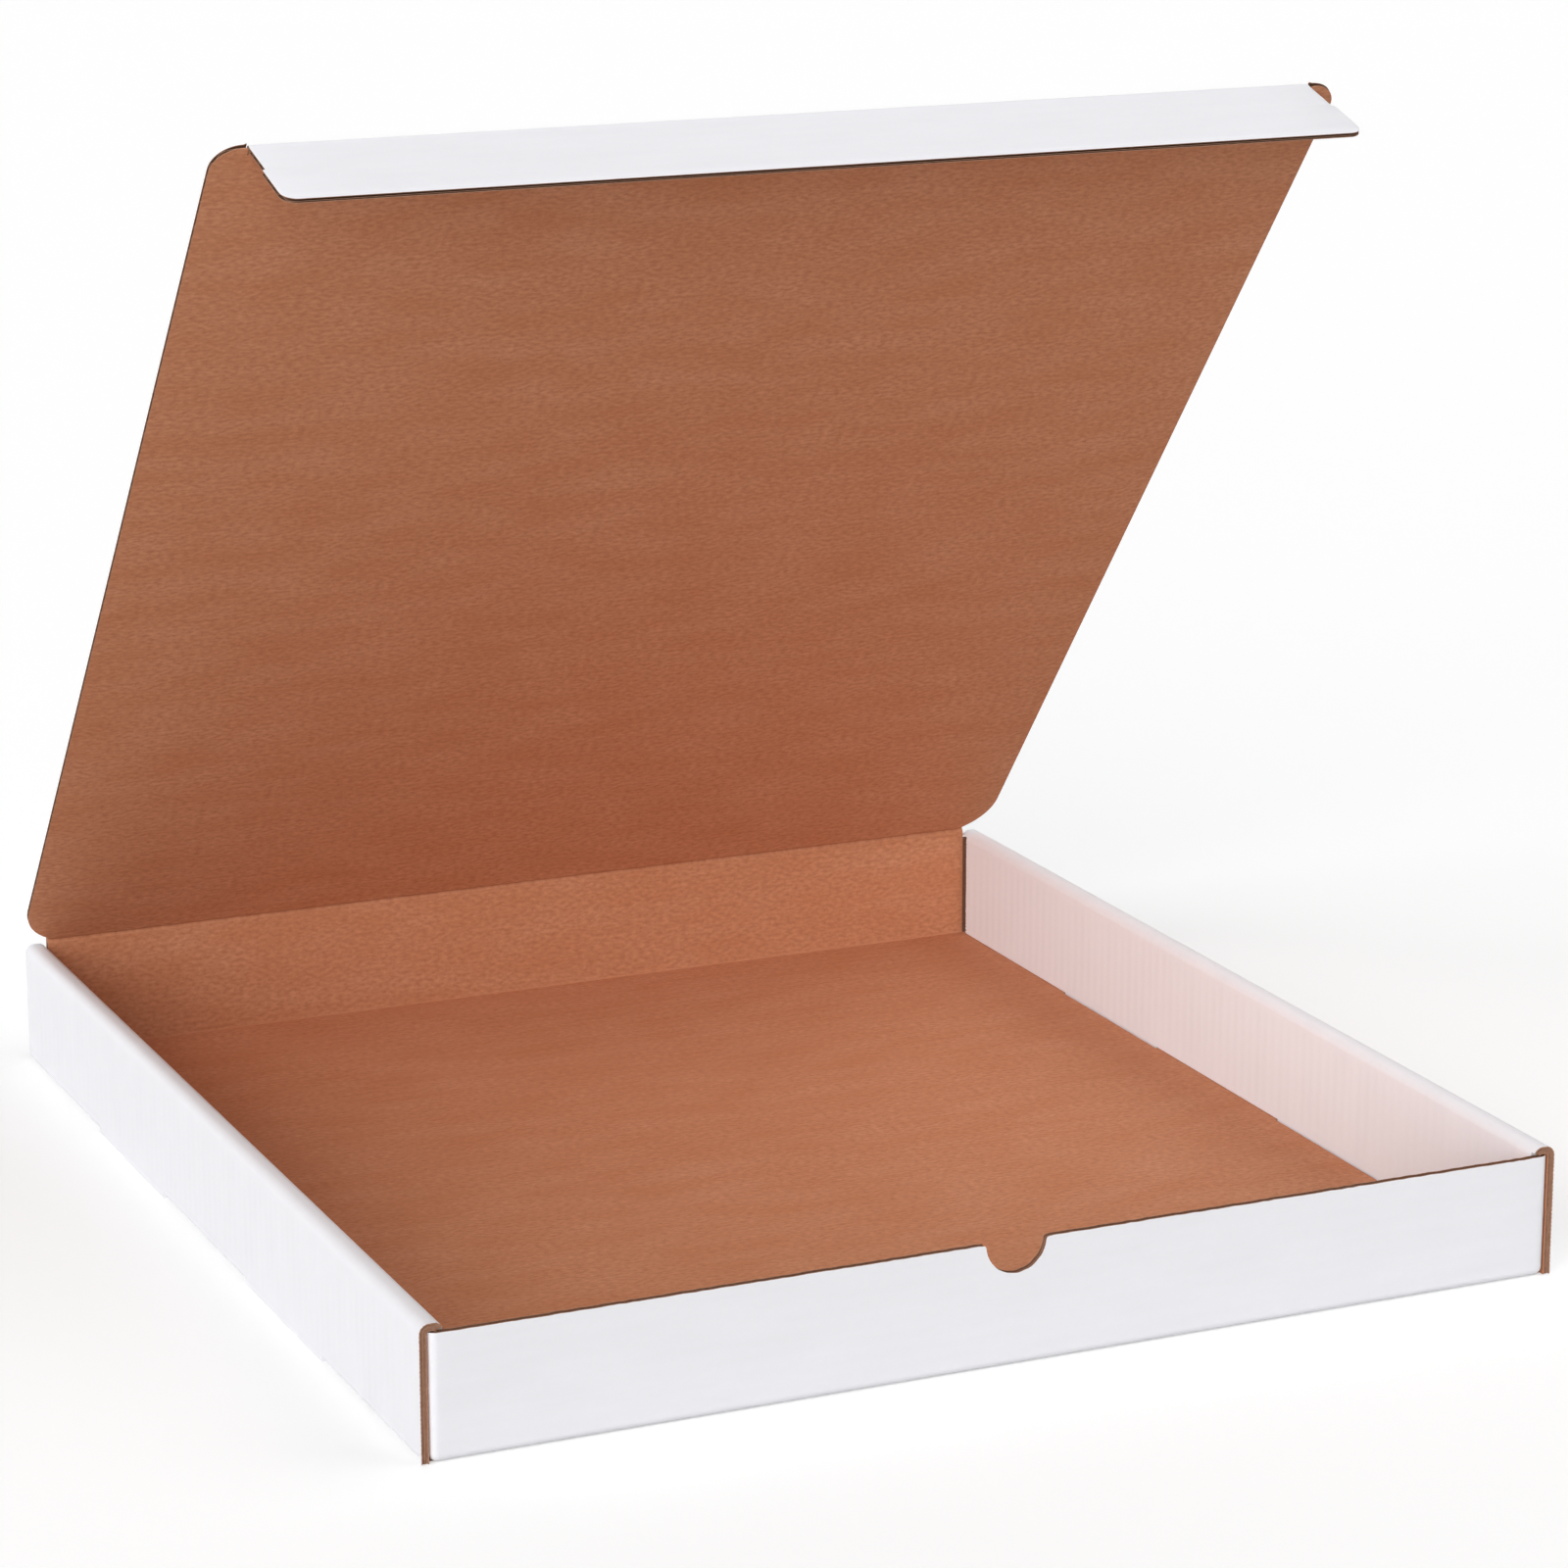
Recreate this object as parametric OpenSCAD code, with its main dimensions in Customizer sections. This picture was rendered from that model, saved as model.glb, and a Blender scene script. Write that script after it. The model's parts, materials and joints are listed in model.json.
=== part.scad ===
// Mailer box folded from one sheet of corrugated board: a shallow tray with rolled side walls,
// a lid hinged at the back panel and a tuck flap along the lid's front edge.
// X runs along the front, Y from the front to the back, Z up; the origin is the centre of the underside.

/* [Box] */
// Clear width inside, between the rolled side walls
inside_w = 457.2; // [320:0.1:600]
// Clear depth inside, from the front panel to the back panel
inside_d = 508; // [360:0.1:640]
// Clear height inside, from the floor to the top of the side walls
inside_h = 50.8; // [36:0.1:100]

/* [Board] */
// Thickness of the corrugated board
board_t = 3; // [2:0.1:4]
// Inside radius of a plain fold
fold_r = 0.5; // [0.2:0.1:1]
// Inside radius of the two folds that roll the top of a side wall
roll_r = 1; // [0.4:0.1:1.1]
// Gap between neighbouring layers of board
layer_gap = 0.3; // [0.1:0.1:0.6]

/* [Front panel] */
// Width of the half-round thumb notch in the middle of the front panel
notch_w = 25.4; // [16:0.1:40]
// Radius that eases the notch into the panel's top edge
notch_shoulder_r = 1.5; // [0.5:0.1:4]

/* [Side walls] */
// How far the outer side walls stop short of the front and back faces
side_setback = 1; // [0:0.1:1.8]
// Gap between the ends of an inner side wall and the front and back panels
inner_wall_clear = 1.5; // [0.3:0.1:4]
// Length of the dust flaps held inside the side walls
dust_flap_l = 70; // [30:1:140]
// Length of a locking tab at the foot of an inner side wall
tab_l = 90; // [40:1:130]
// Distance between the middles of the two tabs in a side wall
tab_spacing = 200; // [145:1:220]
// Clearance round a tab in its slot
tab_clear = 0.8; // [0.3:0.1:2]

/* [Lid] */
// How far the lid reaches past each side wall
lid_overhang = 2; // [0:0.1:8]
// Radius of the lid's two corners at the hinge
hinge_corner_r = 14; // [6:0.5:24]
// Radius of the lid's two front corners
front_corner_r = 12; // [4:0.5:13]
// Gap that a crease leaves between the two panels it joins
crease_gap = 0.3; // [0.2:0.1:0.6]
// How far the lid stands open, from 0 when closed
lid_angle = 51.2; // [8:0.1:180]

/* [Tuck flap] */
// Depth of the flap from its crease to its free edge
flap_depth = 46; // [30:0.5:50]
// Clearance between each end of the flap and the inner side wall when tucked in
flap_side_clear = 1.2; // [0.5:0.1:6]
// Clearance between the tucked flap and the front panel
flap_front_clear = 3; // [2.6:0.1:6]
// Radius of the flap's two free corners
flap_corner_r = 6; // [2:0.5:12]
// How far the flap's outer part stands out past the part at the crease, at each end
lock_step = 1.2; // [0.4:0.1:4]
// Distance from the crease to the step
lock_at = 20; // [8:0.5:30]
// Clearance between each end of the crease and the lid's corner
flap_end_gap = 0.5; // [0.3:0.1:2]
// Angle between the flap and the lid, on the inside of the box
flap_angle = 111.3; // [75:0.1:180]

/* [Hidden] */
$fn = 64;
white_liner = [0.93, 0.925, 0.935];
kraft_liner = [0.65, 0.42, 0.31];

// Outer radii of the folds
fold_out = fold_r + board_t;
roll_out = roll_r + board_t;

// A side wall is an outer wall, a dust flap and an inner wall, side by side
wall_w = 3 * board_t + 2 * layer_gap;
half_w = inside_w / 2 + wall_w;
half_d = inside_d / 2 + board_t;
wall_top = board_t + inside_h;
wall_half_l = half_d - side_setback;
inner_half_l = inside_d / 2 - inner_wall_clear;

// The front panel and the dust flaps stay under the rolled top of the side walls
under_roll = wall_top - board_t - 2 * layer_gap;
above_floor = board_t + layer_gap;

// Faces of the dust flaps, and the end of the flat part of the front and back panels
dust_out = half_w - board_t - layer_gap;
panel_half_w = dust_out - fold_out;
back_half_w = half_w - wall_w - layer_gap;

// The lid turns about the middle of its board, just above the back panel
hinge_y = half_d - board_t / 2;
hinge_z = wall_top + crease_gap + board_t / 2;
lid_half_w = half_w + lid_overhang;
hinge_half_w = min(back_half_w, lid_half_w - hinge_corner_r);

// The tucked flap hangs just inside the front panel
flap_half_w = inside_w / 2 - flap_side_clear;
flap_crease_half_w = flap_half_w - lock_step;
flap_crease_y = -inside_d / 2 + flap_front_clear + board_t / 2;
flap_axis = hinge_y - flap_crease_y;
crease_half = board_t / 2 + crease_gap;
lid_front = flap_axis + board_t / 2;

// Overrun of a cutting shape past the face it cuts, and overlap of two shapes that make one board
cut = 1;
lap = 1;

// Runs a section drawn in X and Z along Y
module along_y(length) {
    rotate([90, 0, 0])
        linear_extrude(length, center = true)
            children();
}

// Runs a section drawn in Y and Z along X
module along_x(length) {
    rotate([90, 0, 90])
        linear_extrude(length, center = true)
            children();
}

// Makes a shape on both sides of the middle
module both_sides() {
    children();
    mirror([1, 0, 0])
        children();
}

// Takes off one corner of a sheet: the corner is at the origin, the sheet lies towards +X +Y
module corner_cut(radius) {
    difference() {
        translate([-cut, -cut])
            square(radius + cut);
        translate([radius, radius])
            circle(radius);
    }
}

// Section of board bent square, with its outer corner at the origin and its legs along +X and +Y
module bent_board(leg_x, leg_y, inner_r) {
    difference() {
        square([leg_x, leg_y]);
        corner_cut(inner_r + board_t);
        translate([board_t, board_t])
            difference() {
                square([leg_x, leg_y]);
                corner_cut(inner_r);
            }
    }
}

// Section of the outer wall, from the floor's edge up and over to the middle of the rolled top
module outer_wall_section() {
    leg_z = wall_top / 2 + lap;
    translate([half_w, 0])
        mirror([1, 0])
            bent_board(wall_w / 2, leg_z, fold_r);
    translate([half_w, wall_top])
        rotate(180)
            bent_board(wall_w / 2, leg_z, roll_r);
}

// Section of the inner wall, from the rolled top down to the floor
module inner_wall_section() {
    translate([half_w - wall_w, wall_top])
        mirror([0, 1])
            bent_board(wall_w - roll_out, wall_top - above_floor, roll_r);
}

// Slot through the floor and its fold, for one locking tab
module tab_slot() {
    slot_l = tab_l + 2 * tab_clear;
    slot_in = half_w - wall_w - tab_clear;
    translate([slot_in, -slot_l / 2, -cut])
        cube([half_w - board_t - slot_in, slot_l, fold_out + cut]);
}

// Square lower edge of the outer wall beside a slot, and the tab that drops into the slot
module tab_and_lip() {
    slot_l = tab_l + 2 * tab_clear;
    translate([half_w - board_t, -slot_l / 2, 0])
        cube([board_t, slot_l, fold_out]);
    translate([half_w - wall_w, -tab_l / 2, layer_gap])
        cube([board_t, tab_l, above_floor]);
}

// Places a shape at both tabs of a side wall
module at_tabs() {
    for (end = [-1, 1])
        translate([0, end * tab_spacing / 2, 0])
            children();
}

// Flat floor, ending where its four folds start
module floor_panel() {
    translate([-half_w + fold_out, -half_d + fold_out, 0])
        cube([2 * (half_w - fold_out), 2 * (half_d - fold_out), board_t]);
}

// Section of the back panel as drawn towards +Y, from its fold at the floor up to a given height
module end_panel_section(top) {
    translate([half_d, 0])
        mirror([1, 0])
            bent_board(2 * fold_out, top, fold_r);
}

// Dust flap at the +X end of the back panel, with the bend that leads to it
module dust_flap() {
    translate([dust_out, half_d, above_floor])
        linear_extrude(under_roll - above_floor)
            rotate(180)
                bent_board(2 * fold_out, fold_out + dust_flap_l, fold_r);
}

// Panel with its two dust flaps, up to the height that passes under the rolled side walls
module end_panel() {
    along_x(2 * panel_half_w)
        end_panel_section(under_roll);
    both_sides()
        dust_flap();
}

// Outline of the thumb notch below a top edge at the origin, with eased shoulders
module notch_outline() {
    notch_r = notch_w / 2;
    shoulder_x = sqrt(pow(notch_r + notch_shoulder_r, 2) - pow(notch_shoulder_r, 2));
    circle(notch_r);
    translate([-shoulder_x, 0])
        square([2 * shoulder_x, cut]);
    for (side = [-1, 1])
        difference() {
            polygon([[0, 0], [side * shoulder_x, 0], [side * shoulder_x, -notch_shoulder_r]]);
            translate([side * shoulder_x, -notch_shoulder_r])
                circle(notch_shoulder_r);
        }
}

// Cutter for the thumb notch, through the front panel
module thumb_notch() {
    translate([0, -half_d + board_t / 2, under_roll])
        along_y(board_t + 2 * cut)
            notch_outline();
}

// Top strip of the back panel, between the rolled side walls, which carries the lid's crease
module back_strip() {
    translate([-back_half_w, half_d - board_t, under_roll - lap])
        cube([2 * back_half_w, board_t, wall_top - under_roll + lap]);
}

// Floor, front, back, rolled side walls and dust flaps: the folded and locked part of the sheet
module tray() {
    color(white_liner) {
        difference() {
            union() {
                floor_panel();
                both_sides()
                    along_y(2 * wall_half_l)
                        outer_wall_section();
            }
            both_sides()
                at_tabs()
                    tab_slot();
        }
        both_sides() {
            along_y(2 * inner_half_l)
                inner_wall_section();
            at_tabs()
                tab_and_lip();
        }
        end_panel();
        back_strip();
        difference() {
            mirror([0, 1, 0])
                end_panel();
            thumb_notch();
        }
    }
}

// Outline of the lid, with the hinge at y = 0 and the front towards -Y
module lid_outline() {
    recess_half_w = flap_crease_half_w + flap_end_gap;
    difference() {
        translate([-lid_half_w, -lid_front])
            square([2 * lid_half_w, lid_front]);
        for (side = [0, 1])
            mirror([side, 0]) {
                translate([-lid_half_w, 0])
                    mirror([0, 1])
                        corner_cut(hinge_corner_r);
                translate([-lid_half_w, -lid_front])
                    corner_cut(front_corner_r);
            }
        translate([-recess_half_w, -lid_front - cut])
            square([2 * recess_half_w, lid_front + cut - flap_axis + crease_half]);
    }
}

// Outline of the flap, with its crease at y = 0 and its free edge towards -Y
module flap_outline() {
    difference() {
        union() {
            translate([-flap_crease_half_w, -flap_depth])
                square([2 * flap_crease_half_w, flap_depth]);
            translate([-flap_half_w, -flap_depth])
                square([2 * flap_half_w, flap_depth - lock_at]);
        }
        for (side = [0, 1])
            mirror([side, 0])
                translate([-flap_half_w, -flap_depth])
                    corner_cut(flap_corner_r);
    }
}

// Flat panel of board whose folded edge is a round bead on the X axis
module creased_panel(bead_half_w) {
    translate([0, 0, -board_t / 2])
        linear_extrude(board_t)
            children();
    rotate([0, 90, 0])
        cylinder(d = board_t, h = 2 * bead_half_w, center = true);
}

// Turns the lid's own frame, with the hinge on its X axis, to where the lid stands open
module at_lid() {
    translate([0, hinge_y, hinge_z])
        rotate([-lid_angle, 0, 0])
            children();
}

// Lid panel
module lid() {
    color(kraft_liner)
        at_lid()
            creased_panel(hinge_half_w)
                lid_outline();
}

// Flap that tucks in behind the front panel
module tuck_flap() {
    color(white_liner)
        at_lid()
            translate([0, -flap_axis, 0])
                rotate([180 - flap_angle, 0, 0])
                    creased_panel(flap_crease_half_w)
                        flap_outline();
}

tray();
lid();
tuck_flap();
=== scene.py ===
import json
import math
import random

import bmesh
import bpy
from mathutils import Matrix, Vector


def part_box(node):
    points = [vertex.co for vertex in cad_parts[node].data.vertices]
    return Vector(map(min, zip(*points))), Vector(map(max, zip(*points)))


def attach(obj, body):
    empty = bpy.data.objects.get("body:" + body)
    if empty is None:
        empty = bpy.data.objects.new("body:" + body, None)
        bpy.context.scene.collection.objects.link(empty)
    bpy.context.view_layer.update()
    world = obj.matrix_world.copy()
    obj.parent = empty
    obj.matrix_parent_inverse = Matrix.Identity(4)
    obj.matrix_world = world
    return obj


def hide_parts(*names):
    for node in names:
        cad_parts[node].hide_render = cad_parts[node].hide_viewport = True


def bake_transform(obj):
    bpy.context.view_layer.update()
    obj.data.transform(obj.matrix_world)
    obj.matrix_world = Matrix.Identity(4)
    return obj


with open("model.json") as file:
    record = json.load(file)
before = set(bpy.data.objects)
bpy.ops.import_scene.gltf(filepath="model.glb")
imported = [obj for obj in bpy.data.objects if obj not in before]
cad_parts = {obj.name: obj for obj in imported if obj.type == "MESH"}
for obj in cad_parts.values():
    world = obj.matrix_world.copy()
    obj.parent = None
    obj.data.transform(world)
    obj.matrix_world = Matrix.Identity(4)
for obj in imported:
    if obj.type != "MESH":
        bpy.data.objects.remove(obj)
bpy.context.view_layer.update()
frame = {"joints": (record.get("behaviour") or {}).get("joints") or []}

# Driving sizes of the box in millimetres, the rest is worked out from them and from the frame
MM = 0.001

# Corrugated board: whole thickness, one liner, the medium, and the distance from flute to flute
BOARD = 3.0
LINER = 0.4
MEDIUM = 0.3
FLUTE_PITCH = 6.6

# Inside radius of a fold and of a rolled wall top, and the gap between two layers of board
FOLD_R = 0.5
ROLL_R = 1.0
LAYER_GAP = 0.3

# Thumb notch
NOTCH_R = 12.7
NOTCH_SHOULDER_R = 1.5

# Side walls, dust flaps and locking tabs
SIDE_SETBACK = 1.0
INNER_WALL_CLEAR = 3.0
DUST_FLAP_L = 70.0
TAB_L = 90.0
TAB_SPACING = 200.0
TAB_CLEAR = 0.8

# Lid, its creases and the recess that the flap's crease lies in
LID_OVERHANG = 2.0
HINGE_CORNER_R = 24.0
FRONT_CORNER_R = 12.0
CREASE_GAP = 0.3
CREASE_GROOVE = 0.6
CREASE_GROOVE_W = 0.2
RECESS_GAP = 0.5

# Tuck flap: its angle to the lid in degrees, its outline and the lock step at each end
FLAP_ANGLE = 111.3
FLAP_DEPTH = 46.0
FLAP_SIDE_CLEAR = 1.2
FLAP_CORNER_R = 6.0
LOCK_STEP = 1.2
LOCK_AT = 20.0
LOCK_RAMP = 0.6

# Cut edges: hollows between the layers, set-back medium, waver of the knife, teeth of the wall ends
EDGE_GROOVE = 0.9
MEDIUM_INSET = 0.4
KNIFE_WAVER = 0.25
KNIFE_START = 16.0
KNIFE_STEP = 2.5
KNIFE_STEPS = 84
SAW_CUT = 0.35
INNER_SAW_CUT = 1.2
SAW_ROOM = 1.4
SAW_ROWS = 56

# Edges crushed by the die: how far in, and the share of the thickness that is left
PINCH_IN = 2.5
PINCH = 0.62

# Steps of a bend and of a rounded corner, the angle in degrees above which an edge stays sharp,
# and the difference below which two lengths count as equal
BEND_STEPS = 8
CORNER_STEPS = 12
SHARP_ANGLE = 32
NEAR = 0.01

# Places that come from the frame
TRAY_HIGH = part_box("tray")[1]
HALF_W = TRAY_HIGH[0] / MM
HALF_D = TRAY_HIGH[1] / MM
WALL_TOP = TRAY_HIGH[2] / MM
JOINTS = {joint["name"]: joint for joint in frame["joints"]}
LID_PIVOT = Vector(JOINTS["lid_hinge"]["pos_m"]) / MM
FLAP_PIVOT = Vector(JOINTS["tuck_flap_crease"]["pos_m"]) / MM

# Tray: a side wall is an outer wall, a dust flap and an inner wall, side by side
FOLD_OUT = FOLD_R + BOARD
ROLL_OUT = ROLL_R + BOARD
FOLD_Y = HALF_D - FOLD_OUT
WALL_W = 3 * BOARD + 2 * LAYER_GAP
UNDER_ROLL = WALL_TOP - BOARD - 2 * LAYER_GAP
ABOVE_FLOOR = BOARD + LAYER_GAP
WALL_HALF_L = HALF_D - SIDE_SETBACK
INNER_BACK = HALF_D - BOARD - INNER_WALL_CLEAR
INNER_FRONT = HALF_D - BOARD - LAYER_GAP
DUST_OUT = HALF_W - BOARD - LAYER_GAP
PANEL_HALF_W = DUST_OUT - FOLD_OUT
BACK_HALF_W = HALF_W - WALL_W - LAYER_GAP
SLOT_IN = HALF_W - WALL_W - TAB_CLEAR

# Lid and flap: the rounded hinge corner meets the end of the crease at a slant
CREASE_HALF = BOARD / 2 + CREASE_GAP
LID_HALF_W = HALF_W + LID_OVERHANG
HINGE_CORNER_LEFT = HINGE_CORNER_R - (LID_HALF_W - BACK_HALF_W)
HINGE_CORNER_CUT = HINGE_CORNER_R - math.sqrt(HINGE_CORNER_R ** 2 - HINGE_CORNER_LEFT ** 2)
LID_L = (FLAP_PIVOT - LID_PIVOT).length
LID_FRONT = LID_L + BOARD / 2
FLAP_HALF_W = HALF_W - WALL_W - FLAP_SIDE_CLEAR
CREASE_HALF_W = FLAP_HALF_W - LOCK_STEP
RECESS_HALF_W = CREASE_HALF_W + RECESS_GAP

# Depths from the white face through the board: liner, hollow, one pass of the medium, hollow, liner
LAYERS = (0.0, LINER, (BOARD - MEDIUM) / 2, (BOARD + MEDIUM) / 2, BOARD - LINER, BOARD)
HOLLOW_LAYERS = (1, 3)
MEDIUM_LAYER = 2

# Headings of the lid and the flap from their creases, and of their white faces
UP = Vector((0, 0, 1))
LID_RUN = (FLAP_PIVOT - LID_PIVOT).normalized()
LID_OUT = Vector((0, LID_RUN.z, -LID_RUN.y))
FLAP_TURN = math.radians(180 - FLAP_ANGLE)
FLAP_RUN = LID_RUN * math.cos(FLAP_TURN) - LID_OUT * math.sin(FLAP_TURN)
FLAP_OUT = Vector((0, FLAP_RUN.z, -FLAP_RUN.y))

# Finishes of a face, in the order of the material slots; the inside finish is painted shade, dark brown
# for the hollows and the medium inside the board
WHITE, KRAFT, RAW, SHADED_INSIDE = 0, 1, 2, 3
cut_random = random.Random(18)


# Colours are written as sRGB hex and turned to linear here
def colour(hex_text):
    parts = [int(hex_text[at:at + 2], 16) / 255 for at in (1, 3, 5)]
    linear = [part / 12.92 if part <= 0.04045 else ((part + 0.055) / 1.055) ** 2.4 for part in parts]
    return (*linear, 1.0)


# Adds one node with its settings, constant values and links
def add(tree, kind, inputs=None, **settings):
    made = tree.nodes.new(kind)
    for name, value in settings.items():
        setattr(made, name, value)
    for socket, value in (inputs or {}).items():
        if isinstance(value, bpy.types.NodeSocket):
            tree.links.new(value, made.inputs[socket])
        else:
            made.inputs[socket].default_value = value
    return made


def new_material(name):
    material = bpy.data.materials.new(name)
    material.use_nodes = True
    material.node_tree.nodes.clear()
    return material, material.node_tree


# Patterns of a liner: size along and across the flutes in millimetres on the flat board, detail, and the
# levels of noise it fades in between. Real fibres are finer than a picture shows, so these are coarser.
LINER_PATTERNS = {
    "cloud": (44, 15, 6, 0.3, 0.7),
    "grain": (3.2, 1.6, 6, 0.3, 0.7),
    "fleck": (1.0, 1.3, 2, 0.62, 0.74),
}

# Relief of the washboard in millimetres
WASHBOARD = 0.06


# A paper liner seen from its face: slow clouds and grain drawn out along the flutes, fine flecks,
# and the faint washboard of the flutes below. Each tint is a colour and the most of it that shows.
def paper_liner(name, base, tints, roughness, fibre_relief):
    material, tree = new_material(name)
    flat = add(tree, "ShaderNodeUVMap", uv_map="flat_board").outputs["UV"]
    paper = colour(base)
    noises = {}
    for part, (along, across, detail, low, high) in LINER_PATTERNS.items():
        tint, most = tints[part]
        scale = (1 / (along * MM), 1 / (across * MM), 1)
        scaled = add(tree, "ShaderNodeMapping", {"Vector": flat, "Scale": scale}).outputs[0]
        noise = add(tree, "ShaderNodeTexNoise", {"Vector": scaled, "Scale": 1.0, "Detail": detail})
        noises[part] = noise.outputs[0]
        fade = {"From Min": low, "From Max": high, "To Min": 0.0, "To Max": most}
        share = add(tree, "ShaderNodeMapRange", {"Value": noises[part], **fade}).outputs[0]
        mix = add(tree, "ShaderNodeMix", {0: share, 6: paper, 7: colour(tint)}, data_type="RGBA")
        paper = mix.outputs[2]
    across_flutes = add(tree, "ShaderNodeSeparateXYZ", {0: flat}).outputs["Y"]
    turns_per_m = 2 * math.pi / (FLUTE_PITCH * MM)
    turns = add(tree, "ShaderNodeMath", {0: across_flutes, 1: turns_per_m}, operation="MULTIPLY")
    ridge = add(tree, "ShaderNodeMath", {0: turns.outputs[0]}, operation="SINE")
    worn = add(tree, "ShaderNodeMath", {0: ridge.outputs[0], 1: noises["cloud"]}, operation="MULTIPLY")
    washboard = add(tree, "ShaderNodeBump", {
        "Height": worn.outputs[0], "Strength": 1.0, "Distance": WASHBOARD * MM})
    fibres = add(tree, "ShaderNodeBump", {
        "Height": noises["grain"], "Strength": 1.0, "Distance": fibre_relief * MM,
        "Normal": washboard.outputs[0]})
    shader = add(tree, "ShaderNodeBsdfPrincipled", {
        "Base Color": paper, "Roughness": roughness, "Specular IOR Level": 0.3,
        "Normal": fibres.outputs[0]})
    add(tree, "ShaderNodeOutputMaterial", {"Surface": shader.outputs[0]})
    return material


# Size and relief of torn fibres in millimetres
TORN_FIBRE = 1.6
TORN_RELIEF = 0.2


# Brown paper with torn fibres, for the cut edges and for the fluted medium inside the board
def torn_paper(name, dark, light):
    material, tree = new_material(name)
    place = add(tree, "ShaderNodeTexCoord").outputs["Object"]
    torn = add(tree, "ShaderNodeTexNoise", {
        "Vector": place, "Scale": 1 / (TORN_FIBRE * MM), "Detail": 3.0}).outputs[0]
    brown = add(tree, "ShaderNodeMix", {0: torn, 6: colour(dark), 7: colour(light)}, data_type="RGBA")
    rough = add(tree, "ShaderNodeBump", {
        "Height": torn, "Strength": 0.6, "Distance": TORN_RELIEF * MM})
    shader = add(tree, "ShaderNodeBsdfPrincipled", {
        "Base Color": brown.outputs[2], "Roughness": 0.92, "Specular IOR Level": 0.15,
        "Normal": rough.outputs[0]})
    add(tree, "ShaderNodeOutputMaterial", {"Surface": shader.outputs[0]})
    return material


# Folded board as a closed mesh of small six-sided cells: a face that two cells share vanishes
class Board:
    def __init__(self):
        self.index = {}
        self.points = []
        self.faces = {}

    def corner(self, point):
        key = tuple(round(part, 4) for part in point)
        if key not in self.index:
            self.index[key] = len(self.points)
            self.points.append(Vector(point) * MM)
        return self.index[key]

    def face(self, corners, flat, finish):
        key = frozenset(corners)
        if self.faces.pop(key, None) is None:
            self.faces[key] = (corners, flat, finish)

    def cell(self, top, bottom, flat, top_finish, bottom_finish, edge_finish):
        upper = [self.corner(point) for point in top]
        lower = [self.corner(point) for point in bottom]
        self.face(upper, flat, top_finish)
        self.face(lower[::-1], flat[::-1], bottom_finish)
        for at in range(4):
            after = (at + 1) % 4
            self.face([upper[at], lower[at], lower[after], upper[after]],
                      [flat[at], flat[at], flat[after], flat[after]], edge_finish)

    # A grid of cells: spot gives a point and its place on the flat sheet for a row, a column and a depth
    def sheet(self, rows, columns, spot, present, layers=LAYERS, edge_finish=RAW, hollow_finish=RAW,
              painted_gap_shade=lambda row, column: False):
        whole_board = len(layers) == len(LAYERS)
        for row in range(rows - 1):
            for column in range(columns - 1):
                ring = ((row, column), (row + 1, column), (row + 1, column + 1), (row, column + 1))
                for layer in range(len(layers) - 1):
                    if not present(row, column, layer):
                        continue
                    top = [spot(*at, layers[layer]) for at in ring]
                    bottom = [spot(*at, layers[layer + 1]) for at in ring]
                    top_finish = WHITE if layers[layer] == 0 else hollow_finish
                    bottom_finish = KRAFT if layers[layer + 1] == BOARD else hollow_finish
                    # Cells marked for painted shade take the dark inside finish on their kraft face
                    if painted_gap_shade(row, column):
                        bottom_finish = SHADED_INSIDE
                    hollow = whole_board and layer in HOLLOW_LAYERS
                    self.cell([point for point, _ in top], [point for point, _ in bottom],
                              [place for _, place in top], top_finish, bottom_finish,
                              hollow_finish if hollow else edge_finish)

    def finish(self, name):
        mesh = bpy.data.meshes.new(name)
        faces = list(self.faces.values())
        mesh.from_pydata(self.points, [], [corners for corners, _, _ in faces])
        for material in (white_liner, kraft_liner, cut_edge, medium):
            mesh.materials.append(material)
        flat_board = mesh.uv_layers.new(name="flat_board")
        for polygon, (_, flat, finish) in zip(mesh.polygons, faces):
            polygon.material_index = finish
            polygon.use_smooth = True
            for loop, place in zip(polygon.loop_indices, flat):
                flat_board.data[loop].uv = (place[0] * MM, place[1] * MM)
        shell = bmesh.new()
        shell.from_mesh(mesh)
        bmesh.ops.recalc_face_normals(shell, faces=shell.faces)
        shell.to_mesh(mesh)
        shell.free()
        mesh.set_sharp_from_angle(angle=math.radians(SHARP_ANGLE))
        piece = bpy.data.objects.new(name, mesh)
        bpy.context.scene.collection.objects.link(piece)
        return piece


# A folded section as stations: a point on the white face, the way into the board, and the part it is in
def straight(part, start, end, inward, cuts=(0.0, 1.0)):
    run = Vector(end) - Vector(start)
    return [(Vector(start) + run * cut, Vector(inward), part) for cut in cuts]


# A bend as stations, from one angle to another in degrees
def bend(part, centre, radius, start, end):
    stations = []
    for step in range(BEND_STEPS + 1):
        angle = math.radians(start + (end - start) * step / BEND_STEPS)
        out = Vector((math.cos(angle), math.sin(angle)))
        stations.append((Vector(centre) + out * radius, -out, part))
    return stations


# Joins pieces of a section end to end, each row of cells takes the part of its second station
def join(*pieces):
    stations = [pieces[0][0]]
    parts = []
    for piece in pieces:
        for station in piece[1:]:
            stations.append(station)
            parts.append(station[2])
    lengths = [0.0]
    for before, after in zip(stations, stations[1:]):
        lengths.append(lengths[-1] + (after[0] - before[0]).length)
    return stations, parts, lengths


# The values on both sides of the middle, in order
def mirrored(values):
    return sorted({round(side * value, 4) for value in values for side in (-1, 1)})


TAB_SPANS = [(at - TAB_L / 2, at + TAB_L / 2) for at in (-TAB_SPACING / 2, TAB_SPACING / 2)]


def in_tab(at, clear=0.0):
    return any(low - clear < at < high + clear for low, high in TAB_SPANS)


# Where a side wall's foot stands square instead of bending into the floor
def squared(y):
    return in_tab(y, TAB_CLEAR) or y < -FOLD_Y


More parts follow.
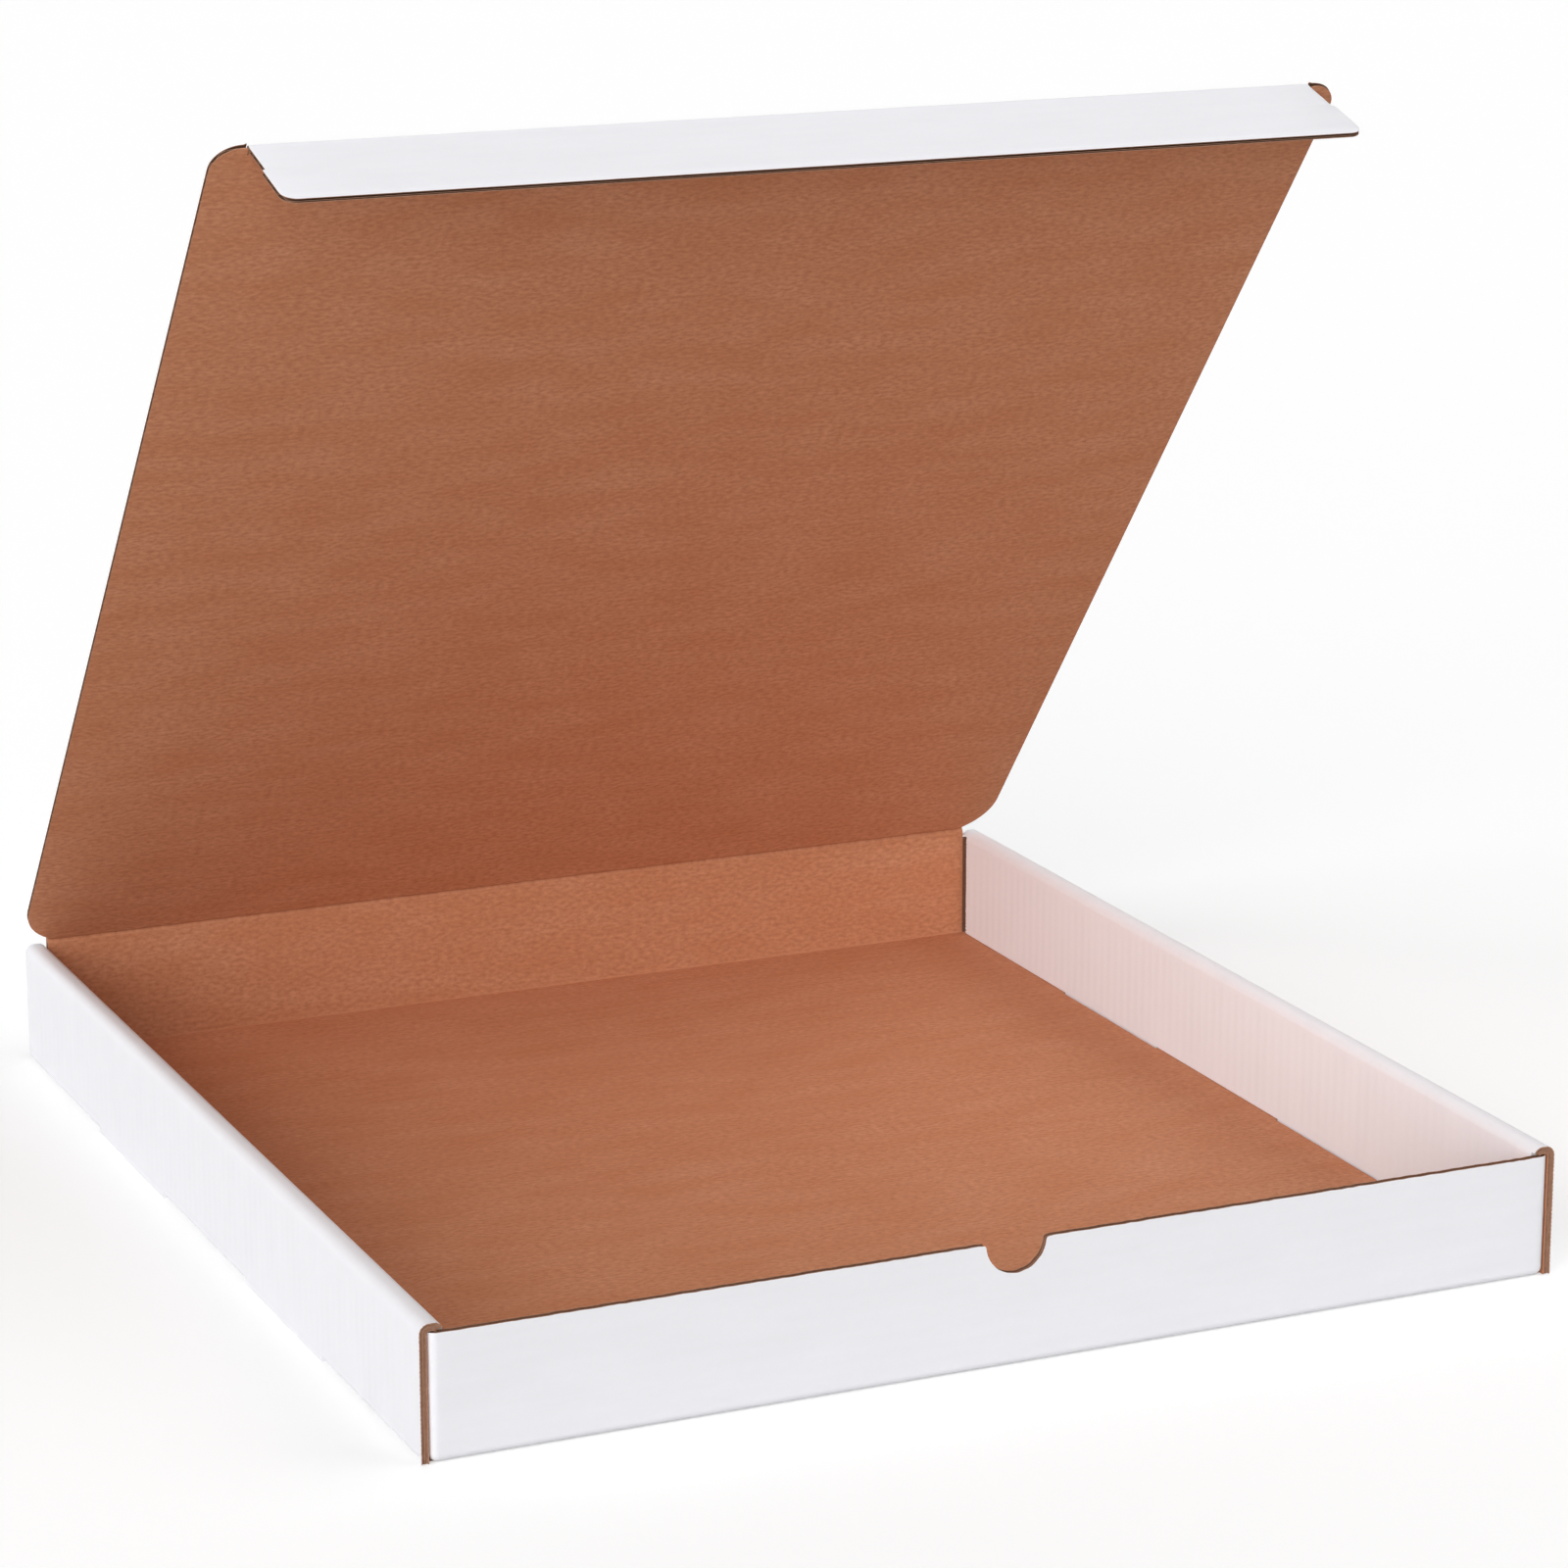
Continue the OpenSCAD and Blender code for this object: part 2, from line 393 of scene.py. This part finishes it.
# Layers that are left out near a cut edge
def edge_left(layer, to_edge):
    if layer in HOLLOW_LAYERS:
        return to_edge < EDGE_GROOVE
    return layer == MEDIUM_LAYER and to_edge < MEDIUM_INSET


# Heights of the front and back panels, shared with the dust flaps so that the sheets join
PANEL_CUTS = [0.0, MEDIUM_INSET, EDGE_GROOVE, 8.0, 16.0, 24.0, 36.0, UNDER_ROLL - FOLD_OUT]
PANEL_HEIGHTS = [UNDER_ROLL - cut for cut in PANEL_CUTS]

# Stations along the floor and the side walls, which share those of the slots
SLOT_EDGES = [abs(edge + clear) for low, high in TAB_SPANS
              for edge, clear in ((low, -TAB_CLEAR), (low, 0), (high, 0), (high, TAB_CLEAR))]
FLOOR_YS = mirrored([
    0, 20, 100, 170, 200, 230, FOLD_Y, INNER_BACK, INNER_BACK - SAW_ROOM, *SLOT_EDGES])
WALL_YS = mirrored([
    *[abs(at) for at in FLOOR_YS], INNER_FRONT, WALL_HALF_L, WALL_HALF_L - MEDIUM_INSET,
    WALL_HALF_L - EDGE_GROOVE])

NOTCH_SHOULDER_X = math.sqrt((NOTCH_R + NOTCH_SHOULDER_R) ** 2 - NOTCH_SHOULDER_R ** 2)


# Height of the front panel's top edge, with the half-round thumb notch and its eased shoulders
def front_top(x):
    reach = abs(x)
    if reach >= NOTCH_SHOULDER_X:
        return UNDER_ROLL
    touch = NOTCH_SHOULDER_X * NOTCH_R / (NOTCH_R + NOTCH_SHOULDER_R)
    if reach >= touch:
        drop = NOTCH_SHOULDER_R - math.sqrt(NOTCH_SHOULDER_R ** 2 - (NOTCH_SHOULDER_X - reach) ** 2)
        return UNDER_ROLL - drop
    return UNDER_ROLL - math.sqrt(NOTCH_R ** 2 - reach ** 2)


def notch_columns():
    turn = math.acos(NOTCH_SHOULDER_R / (NOTCH_R + NOTCH_SHOULDER_R))
    round_part = [NOTCH_R * math.sin(turn * step / 14) for step in range(15)]
    shoulder = [NOTCH_SHOULDER_X - NOTCH_SHOULDER_R * math.sin(turn * step / 6) for step in range(6)]
    return round_part + shoulder


# Front panel, floor and back panel: one run of the sheet, flutes from side to side
def front_floor_back(board):
    panel_h = PANEL_CUTS[-1]
    down = [cut / panel_h for cut in PANEL_CUTS]
    up = [1 - share for share in down[::-1]]
    floor_cuts = [(y + FOLD_Y) / (2 * FOLD_Y) for y in FLOOR_YS]
    stations, parts, lengths = join(
        straight("front", (-HALF_D, UNDER_ROLL), (-HALF_D, FOLD_OUT), (1, 0), down),
        bend("front", (-FOLD_Y, FOLD_OUT), FOLD_OUT, 180, 270),
        straight("floor", (-FOLD_Y, 0), (FOLD_Y, 0), (0, 1), floor_cuts),
        bend("back", (FOLD_Y, FOLD_OUT), FOLD_OUT, -90, 0),
        straight("back", (HALF_D, FOLD_OUT), (HALF_D, UNDER_ROLL), (-1, 0), up),
        straight("strip", (HALF_D, UNDER_ROLL), (HALF_D, WALL_TOP), (-1, 0)))
    knife_columns = [KNIFE_START + KNIFE_STEP * at for at in range(KNIFE_STEPS)]
    floor_half_w = HALF_W - FOLD_OUT
    xs = mirrored([
        0, *notch_columns(), *knife_columns, SLOT_IN, BACK_HALF_W, PANEL_HALF_W, floor_half_w])
    waver = [cut_random.uniform(0, KNIFE_WAVER) if abs(x) < BACK_HALF_W else 0 for x in xs]
    reach = {"front": PANEL_HALF_W, "back": PANEL_HALF_W, "floor": floor_half_w, "strip": BACK_HALF_W}

    def spot(row, column, depth):
        (y, z), (in_y, in_z), _ = stations[row]
        x = xs[column]
        drop = 0.0
        if row < len(PANEL_CUTS):
            drop = (UNDER_ROLL - front_top(x) + waver[column]) * (z - FOLD_OUT) / panel_h
        return (x, y + in_y * depth, z - drop + in_z * depth), (x, lengths[row] + drop)

    def present(row, column, layer):
        part = parts[row]
        x = abs(xs[column] + xs[column + 1]) / 2
        if x > reach[part]:
            return False
        if part == "floor":
            y = (stations[row][0][0] + stations[row + 1][0][0]) / 2
            return x < SLOT_IN or not in_tab(y, TAB_CLEAR)
        if part == "front" and row < len(PANEL_CUTS) - 1:
            return not edge_left(layer, (PANEL_CUTS[row] + PANEL_CUTS[row + 1]) / 2)
        return True

    # Painted shade: the score beside a dust flap, seen only through the gap behind the inner wall's end,
    # is drawn in the dark inside finish
    def painted_gap_shade(row, column):
        return parts[row] in ("back", "front") and abs(xs[column] + xs[column + 1]) / 2 > BACK_HALF_W

    # The hollows of the tray's board take the dark inside finish, painted shade
    board.sheet(len(stations), len(xs), spot, present, hollow_finish=SHADED_INSIDE, painted_gap_shade=painted_gap_shade)


# Heights of the rounded bottom corner of a dust flap's fold, as shares of the radius of the foot's bend
CORNER_SHARES = (0.7, 0.45, 0.25, 0.1)


# Dust flap: the end of a front or back panel turned in between the two layers of a side wall
def dust_flap(board, side, end):
    flap_end = -FOLD_Y + DUST_FLAP_L
    stations, parts, lengths = join(
        bend("fold", (PANEL_HALF_W, -FOLD_Y), FOLD_OUT, -90, 0),
        straight("flap", (DUST_OUT, -FOLD_Y), (DUST_OUT, flap_end), (-1, 0), (0, 0.5, 1)))
    heights = [*PANEL_HEIGHTS, *[FOLD_OUT * share for share in CORNER_SHARES]]

    # Beside the foot's bend the fold rounds off with it
    def spot(row, column, depth):
        (x, y), (in_x, in_y), _ = stations[row]
        z = heights[column]
        inset = FOLD_OUT - math.sqrt(FOLD_OUT ** 2 - max(FOLD_OUT - z, 0) ** 2)
        deep = inset + depth * (BOARD - inset) / BOARD
        point = (side * (x + in_x * deep), -end * (y + in_y * deep), z)
        return point, (PANEL_HALF_W + lengths[row], z)

    def present(row, column, layer):
        if column >= len(PANEL_HEIGHTS) - 1:
            return parts[row] == "fold"
        to_edge = UNDER_ROLL - (heights[column] + heights[column + 1]) / 2
        return end == 1 or not edge_left(layer, to_edge)

    board.sheet(len(stations), len(heights), spot, present)


# The roll is as long as the outer wall up to this angle in degrees, where it still clears the front panel
ROLL_SPLIT = 155


# Side wall: outer wall, roll over the top, inner wall down to the floor with tabs, flutes upright
def side_wall(board, side):
    roll_z = WALL_TOP - ROLL_OUT
    inner_x = HALF_W - WALL_W
    saw_cuts = [at / SAW_ROWS for at in range(SAW_ROWS + 1)]
    stations, parts, lengths = join(
        bend("foot", (HALF_W - FOLD_OUT, FOLD_OUT), FOLD_OUT, -90, 0),
        straight("outer", (HALF_W, FOLD_OUT), (HALF_W, roll_z), (-1, 0), saw_cuts),
        bend("outer", (HALF_W - ROLL_OUT, roll_z), ROLL_OUT, 0, 90),
        straight("outer", (HALF_W - ROLL_OUT, WALL_TOP), (inner_x + ROLL_OUT, WALL_TOP), (0, -1)),
        bend("outer", (inner_x + ROLL_OUT, roll_z), ROLL_OUT, 90, ROLL_SPLIT),
        bend("inner", (inner_x + ROLL_OUT, roll_z), ROLL_OUT, ROLL_SPLIT, 180),
        straight("inner", (inner_x, roll_z), (inner_x, ABOVE_FLOOR), (1, 0), saw_cuts),
        straight("tab", (inner_x, ABOVE_FLOOR), (inner_x, LAYER_GAP), (1, 0)))
    back_end = {"foot": WALL_HALF_L, "outer": WALL_HALF_L, "inner": INNER_BACK, "tab": INNER_BACK}
    front_end = {**back_end, "inner": INNER_FRONT}
    ys = WALL_YS
    saw = {"foot": 0.0, "outer": SAW_CUT, "inner": INNER_SAW_CUT, "tab": 0.0}
    teeth = [cut_random.uniform(0.5, 1) * saw[part] * (row % 2)
             for row, (_, _, part) in enumerate(stations)]

    # Both ends of the outer wall and the back end of the inner wall are saw-cut
    def spot(row, column, depth):
        (x, z), (in_x, in_z), part = stations[row]
        y = ys[column]
        if abs(abs(y) - back_end[part]) < NEAR and (y > 0 or part == "outer"):
            y -= math.copysign(teeth[row], y)
        return (side * (x + in_x * depth), y, z + in_z * depth), (lengths[row], ys[column])

    def present(row, column, layer):
        part = parts[row]
        y = (ys[column] + ys[column + 1]) / 2
        to_edge = (front_end if y < 0 else back_end)[part] - abs(y)
        if to_edge < 0 or (part == "tab" and not in_tab(y)) or (part == "foot" and squared(y)):
            return False
        return part == "tab" or not edge_left(layer, to_edge)

    # The inner wall's front end lies close behind the front panel and is drawn white
    def close_end(row, column, layer):
        return parts[row] == "inner" and ys[column] < -INNER_BACK

    board.sheet(len(stations), len(ys), spot, lambda *at: present(*at) and not close_end(*at))
    board.sheet(len(stations), len(ys), spot, lambda *at: present(*at) and close_end(*at),
                edge_finish=WHITE, hollow_finish=WHITE)

    # The wall's foot stands square at the slots and at its front end
    def lip_spot(row, column, depth):
        z = (0, FOLD_OUT)[row]
        return (side * (HALF_W - depth), ys[column], z), (z, ys[column])

    def slot_lip(row, column, layer):
        return in_tab((ys[column] + ys[column + 1]) / 2, TAB_CLEAR)

    def end_lip(row, column, layer):
        y = (ys[column] + ys[column + 1]) / 2
        return y < -FOLD_Y and not edge_left(layer, WALL_HALF_L + y)

    board.sheet(2, len(ys), lip_spot, slot_lip, edge_finish=WHITE, hollow_finish=WHITE)
    board.sheet(2, len(ys), lip_spot, end_lip)


# Half width of the lid at a distance from its hinge, with the rounded corners
def lid_half(along):
    for corner_r, to_edge in ((HINGE_CORNER_R, along - CREASE_HALF + HINGE_CORNER_CUT),
                              (FRONT_CORNER_R, LID_FRONT - along)):
        if to_edge < corner_r:
            left = math.sqrt(max(corner_r ** 2 - (corner_r - to_edge) ** 2, 0))
            return LID_HALF_W - corner_r + left
    return LID_HALF_W


# Half width of the tuck flap at a distance from its crease, with the lock step and the rounded tips
def flap_half(along):
    half = CREASE_HALF_W + LOCK_STEP * min(max((along - LOCK_AT) / LOCK_RAMP, 0), 1)
    to_edge = FLAP_DEPTH - along
    if to_edge < FLAP_CORNER_R:
        return half - FLAP_CORNER_R + math.sqrt(FLAP_CORNER_R ** 2 - (FLAP_CORNER_R - to_edge) ** 2)
    return half


# Distances from a panel's edge at which its rounded corner is cut into rows
def corner_steps(corner_r):
    turns = [math.pi / 2 * step / CORNER_STEPS for step in range(CORNER_STEPS + 1)]
    return [corner_r * (1 - math.cos(turn)) for turn in turns]


# Columns that follow a panel's outline: its edge, and the line where the crushed edge starts
EDGE_COLUMN = 10000.0
PINCH_COLUMN = 9000.0

# Plain columns of the lid and the flap, and cells along one flute of the medium
PANEL_COLUMNS = range(-200, 201, 40)
FLUTE_STEPS = 10


# A flat panel of two liners and the waved medium between them, flutes from side to side
def fluted_panel(board, pivot, run, out, rows, half, columns, free_end, present):
    def place(along, x, depth):
        return pivot + run * along + out * (BOARD / 2 - depth) + Vector((x, 0, 0))

    def across(column, along, inset=0.0):
        if abs(column) < PINCH_COLUMN:
            return column
        pinch_in = PINCH_IN if abs(column) == PINCH_COLUMN else 0
        return math.copysign(half(along) - inset - pinch_in, column)

    # The die crushes the board near its cut edges
    def pinched(depth, along, column):
        share = PINCH if abs(column) == EDGE_COLUMN else 1.0
        share = min(share, 1 - (1 - PINCH) * max(0, 1 - (free_end - along) / PINCH_IN))
        return BOARD / 2 + (depth - BOARD / 2) * share

    def liner_spot(row, column, depth):
        along = rows[row]
        x = across(columns[column], along)
        return place(along, x, pinched(depth, along, columns[column])), (x, along)

    def liner_present(row, column, layer):
        middle = (rows[row] + rows[row + 1]) / 2
        return layer != 1 and present(middle, columns[column], columns[column + 1])

    liner_layers = (0.0, LINER, BOARD - LINER, BOARD)
    # The hollow faces of the liners take the dark inside finish, painted shade
    board.sheet(len(rows), len(columns), liner_spot, liner_present, liner_layers, hollow_finish=SHADED_INSIDE)

    swing = BOARD / 2 - LINER - MEDIUM / 2
    wave_l = rows[-1] - rows[0] - 2 * MEDIUM_INSET
    steps = math.ceil(wave_l / (FLUTE_PITCH / FLUTE_STEPS))
    wave_rows = [rows[0] + MEDIUM_INSET + wave_l * step / steps for step in range(steps + 1)]

    def wave_spot(row, column, depth):
        along = wave_rows[row]
        x = across(columns[column], along, MEDIUM_INSET)
        middle = BOARD / 2 - swing * math.sin(2 * math.pi * along / FLUTE_PITCH)
        return place(along, x, pinched(middle + depth - MEDIUM, along, columns[column])), (x, along)

    def wave_present(row, column, layer):
        middle = (wave_rows[row] + wave_rows[row + 1]) / 2
        return present(middle, columns[column], columns[column + 1])

    wave_layers = (MEDIUM / 2, 3 * MEDIUM / 2)
    # The medium takes the dark inside finish, painted shade
    board.sheet(len(wave_rows), len(columns), wave_spot, wave_present, wave_layers, hollow_finish=SHADED_INSIDE)


# Lid, with a recess for the flap's crease
def lid_panel(board):
    hinge_steps = [CREASE_HALF + at - HINGE_CORNER_CUT
                   for at in corner_steps(HINGE_CORNER_R) if at > HINGE_CORNER_CUT]
    front_steps = [LID_FRONT - at for at in corner_steps(FRONT_CORNER_R)]
    rows = sorted({CREASE_HALF, *hinge_steps, *range(30, 490, 20), *front_steps, LID_L - CREASE_HALF})
    columns = [-EDGE_COLUMN, -RECESS_HALF_W, *PANEL_COLUMNS, RECESS_HALF_W, EDGE_COLUMN]

    def present(along, left, right):
        in_recess = -RECESS_HALF_W <= left and right <= RECESS_HALF_W
        return not (in_recess and along > LID_L - CREASE_HALF)

    fluted_panel(board, LID_PIVOT, LID_RUN, LID_OUT, rows, lid_half, columns, 2 * LID_L, present)


# Tuck flap, pinched along its free edge and its ends
def tuck_flap_panel(board):
    tip_steps = [FLAP_DEPTH - at for at in corner_steps(FLAP_CORNER_R)]
    lock_rows = (LOCK_AT, LOCK_AT + LOCK_RAMP)
    rows = sorted({CREASE_HALF, *lock_rows, 10.0, 30.0, FLAP_DEPTH - PINCH_IN, *tip_steps})
    columns = [-EDGE_COLUMN, -PINCH_COLUMN, *PANEL_COLUMNS, PINCH_COLUMN, EDGE_COLUMN]
    fluted_panel(board, FLAP_PIVOT, FLAP_RUN, FLAP_OUT, rows, flap_half, columns, FLAP_DEPTH,
                 lambda *_: True)


# A scored fold between two panels: the white liner goes round it, the kraft side is crushed to a groove
def crease(board, pivot, first_run, second_run, half_w, full_w):
    first_out = Vector((0, first_run.z, -first_run.y))
    second_out = Vector((0, second_run.z, -second_run.y))
    turn = first_out.angle(second_out)
    middle_out = (first_out + second_out).normalized()
    middle_run = (first_run + second_run).normalized()
    half_t = BOARD / 2
    outer = [pivot - first_run * CREASE_HALF + first_out * half_t]
    inner = [pivot - first_run * CREASE_HALF - first_out * half_t]
    for step in range(BEND_STEPS + 1):
        share = step / BEND_STEPS
        angle = turn * share
        outer.append(pivot + (first_out * math.cos(angle) + first_run * math.sin(angle)) * half_t)
        inner.append(pivot - middle_out * CREASE_GROOVE + middle_run * (share - 0.5) * CREASE_GROOVE_W)
    outer.append(pivot + second_run * CREASE_HALF + second_out * half_t)
    inner.append(pivot + second_run * CREASE_HALF - second_out * half_t)
    xs = (-half_w, -full_w, full_w, half_w)
    last = len(outer) - 1

    def spot(row, column, depth):
        share = 1 - (1 - PINCH) * row / last if column in (0, 3) else 1.0
        level = 0.5 + (depth / BOARD - 0.5) * share
        return outer[row].lerp(inner[row], level) + Vector((xs[column], 0, 0)), (xs[column], row * 0.5)

    board.sheet(len(outer), len(xs), spot, lambda *_: True, (0.0, BOARD))
    start = inner[0]
    heading = ((outer[-1] + inner[-1]) / 2 - (outer[0] + inner[0]) / 2).normalized()
    reach = min((outer[-1] - start).dot(heading), (inner[-1] - start).dot(heading))
    return start * MM, (start + heading * reach) * MM


# Bleached outside liner: near white, matt, a trace of warm fibre
white_liner = paper_liner(
    "bleached_white_liner", "#F0F0F4",
    {"cloud": ("#EDEDF1", 1.0), "grain": ("#EAE7EA", 0.25), "fleck": ("#DDD7D4", 0.08)},
    roughness=0.6, fibre_relief=0.008)
# Natural inside liner: red-brown kraft, matt, mottled by short fibres
kraft_liner = paper_liner(
    "natural_kraft_liner", "#D29672",
    {"cloud": ("#C98861", 1.0), "grain": ("#AD6C4C", 0.74), "fleck": ("#88523A", 0.3)},
    roughness=0.85, fibre_relief=0.02)
# Cut edge of a liner: light brown, rough
cut_edge = torn_paper("cut_liner_edge", "#936A54", "#BC957D")
# Fluted medium and the hollow faces inside the board: brown paper, drawn dark brown as painted shade for
# the shade the liners cast on them
medium = torn_paper("fluted_medium_painted_shade", "#644535", "#8A6450")

tray_board = Board()
front_floor_back(tray_board)
for side in (-1, 1):
    side_wall(tray_board, side)
    for end in (-1, 1):
        dust_flap(tray_board, side, end)
tray = tray_board.finish("tray_board")
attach(tray, "tray")
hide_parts("tray")

lid_sheet = Board()
lid_panel(lid_sheet)
lid = lid_sheet.finish("lid_board")
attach(lid, "lid")
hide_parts("lid")

flap_sheet = Board()
tuck_flap_panel(flap_sheet)
tuck_flap = flap_sheet.finish("tuck_flap_board")
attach(tuck_flap, "tuck_flap")
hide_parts("tuck_flap")

lid_fold = Board()
lid_span = crease(lid_fold, LID_PIVOT, UP, LID_RUN, BACK_HALF_W, RECESS_HALF_W)
lid_crease = lid_fold.finish("lid_crease")
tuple(lid_span[0])
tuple(lid_span[1])
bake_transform(lid_crease)

flap_fold = Board()
flap_span = crease(flap_fold, FLAP_PIVOT, LID_RUN, FLAP_RUN, CREASE_HALF_W, CREASE_HALF_W - PINCH_IN)
flap_crease = flap_fold.finish("tuck_flap_crease")
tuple(flap_span[0])
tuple(flap_span[1])
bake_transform(flap_crease)


# Rays that see the background itself: from the camera, from a reflection or through a clear part
def seen_rays(tree):
    rays = add(tree, "ShaderNodeLightPath").outputs
    seen = rays["Is Camera Ray"]
    for ray in ("Is Glossy Ray", "Is Transmission Ray"):
        seen = add(tree, "ShaderNodeMath", {0: seen, 1: rays[ray]}, operation="MAXIMUM").outputs[0]
    return seen


# Pale studio floor just under the box, in metres out to the horizon, lifted to white where it is seen
FLOOR_Z = -0.1 * MM
FLOOR_REACH = 60
FLOOR_LIFT = 0.42
floor_material, floor_tree = new_material("pale_studio_floor")
floor_shade = add(floor_tree, "ShaderNodeBsdfDiffuse", {"Color": colour("#D9D9D9")})
floor_seen = seen_rays(floor_tree)
floor_lift = add(floor_tree, "ShaderNodeMath", {0: floor_seen, 1: FLOOR_LIFT}, operation="MULTIPLY")
floor_glow = add(floor_tree, "ShaderNodeEmission", {"Strength": floor_lift.outputs[0]})
floor_white = add(floor_tree, "ShaderNodeAddShader", {
    0: floor_shade.outputs[0], 1: floor_glow.outputs[0]})
add(floor_tree, "ShaderNodeOutputMaterial", {"Surface": floor_white.outputs[0]})
floor_corners = [(x * FLOOR_REACH, y * FLOOR_REACH, FLOOR_Z)
                 for x, y in ((-1, -1), (1, -1), (1, 1), (-1, 1))]
floor_mesh = bpy.data.meshes.new("studio_floor")
floor_mesh.from_pydata(floor_corners, [], [(0, 1, 2, 3)])
floor_mesh.materials.append(floor_material)
studio_floor = bpy.data.objects.new("studio_floor", floor_mesh)
bpy.context.scene.collection.objects.link(studio_floor)

# Even white surround: faint as a light, pure white where a camera, reflection or clear part sees it
world = bpy.data.worlds.new("white_surround")
world.use_nodes = True
world_tree = world.node_tree
world_tree.nodes.clear()
lighting = add(world_tree, "ShaderNodeBackground", {"Color": (1, 1, 1, 1), "Strength": 0.05})
backdrop = add(world_tree, "ShaderNodeBackground", {"Color": (1, 1, 1, 1), "Strength": 1.0})
surround = add(world_tree, "ShaderNodeMixShader", {
    0: seen_rays(world_tree), 1: lighting.outputs[0], 2: backdrop.outputs[0]})
add(world_tree, "ShaderNodeOutputWorld", {"Surface": surround.outputs[0]})
bpy.context.scene.world = world


# Unit heading from an azimuth to the right of straight back and a slope downwards, in degrees
def heading_down(azimuth, slope):
    around = math.radians(azimuth)
    down = math.radians(slope)
    flat = math.cos(down)
    return Vector((math.sin(around) * flat, math.cos(around) * flat, -math.sin(down)))


# Broad soft boxes: two low ones from the left and the front, a higher fill from the right and a weak one
# from behind, each as the heading of its light, its slope and its strength
SOFT_BOX_SPREAD = 55
for name, azimuth, slope, strength in (("left_box", 80, 20, 1.4), ("front_box", 38, 20, 2.1),
                                       ("fill_box", -75, 45, 1.3), ("back_box", -165, 30, 0.6)):
    light = bpy.data.lights.new(name, "SUN")
    light.energy = strength
    light.angle = math.radians(SOFT_BOX_SPREAD)
    lamp = bpy.data.objects.new(name, light)
    lamp.rotation_euler = heading_down(azimuth, slope).to_track_quat("-Z", "Y").to_euler()
    bpy.context.scene.collection.objects.link(lamp)

# Camera at the photo's angle
camera_data = bpy.data.cameras.new("photo_camera")
camera_data.sensor_width = 36
camera_data.lens = 113.8
camera = bpy.data.objects.new("photo_camera", camera_data)
camera.location = Vector((-797.6, -1822.2, 699.0)) * MM
camera.rotation_euler = heading_down(24.15, 15.03).to_track_quat("-Z", "Y").to_euler()
bpy.context.scene.collection.objects.link(camera)
bpy.context.scene.camera = camera
bpy.context.scene.view_settings.view_transform = "Standard"
